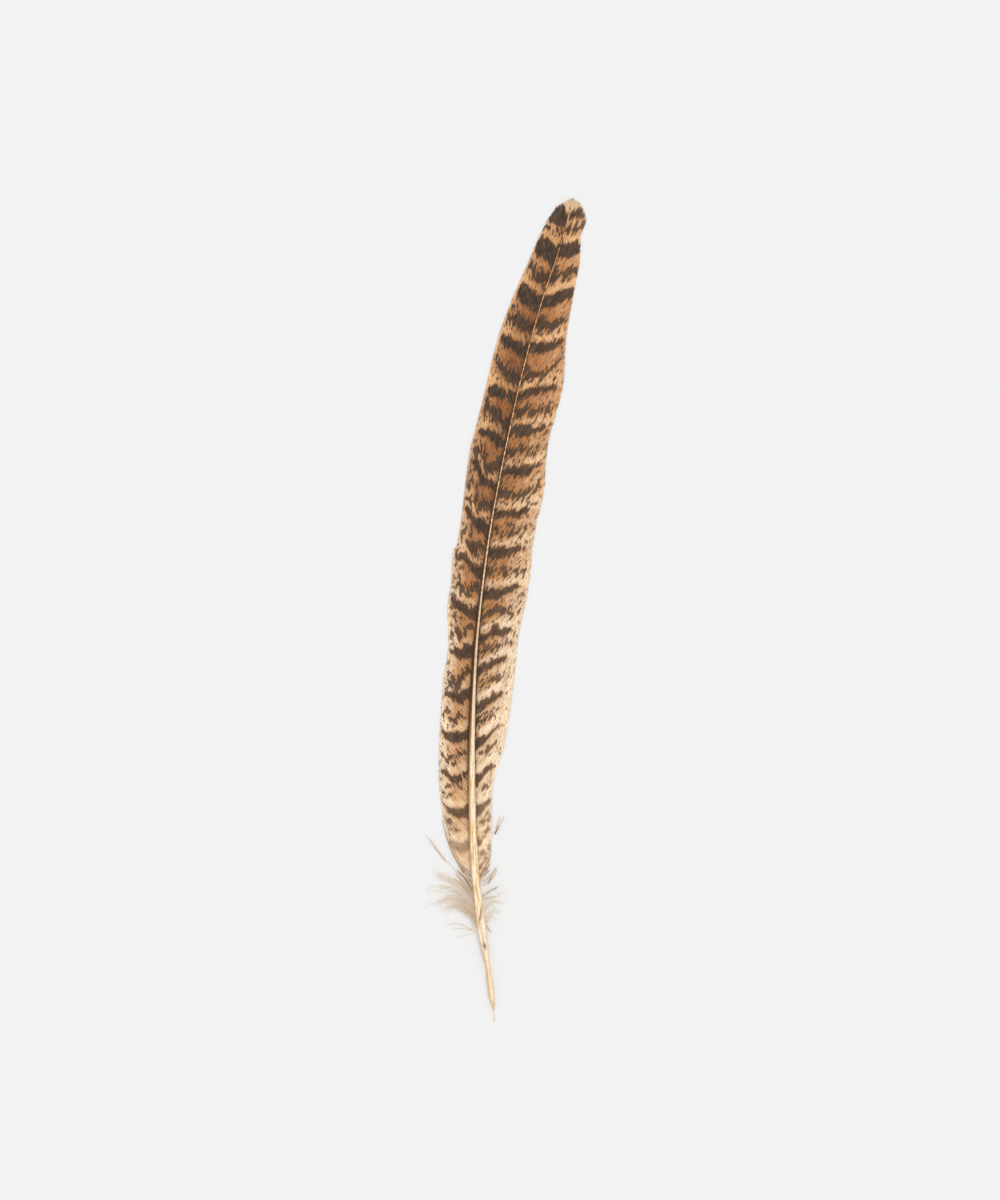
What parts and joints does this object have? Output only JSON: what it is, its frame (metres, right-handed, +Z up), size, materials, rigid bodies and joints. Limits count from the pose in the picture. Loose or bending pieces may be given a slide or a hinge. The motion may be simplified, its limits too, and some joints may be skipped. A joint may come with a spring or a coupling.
{
  "type": "pheasant tail feather",
  "caption": "Long, gently curved barred tail feather lying flat: tapering shaft with a dry quill, a vane along each side and a tuft of down at the base.",
  "frame": {"origin": "middle of the feather's outline, on the surface that it lies on", "axes": "+Y along the feather from the quill to the tip, +Z up out of its patterned side"},
  "size_m": [0.0446, 0.2468, 0.0023],
  "materials": {
    "shaft_keratin": "waxy satin keratin, cream with golden streaks",
    "vane_barbs": "fine barbs, rufous and buff with broken dark brown bars",
    "down_fibres": "loose grey-beige down"
  },
  "bodies": {
    "root": {"shaft": "shaft_keratin", "vane_left": "vane_barbs", "vane_right": "vane_barbs", "down_left": "down_fibres", "down_right": "down_fibres"}
  },
  "joints": []
}
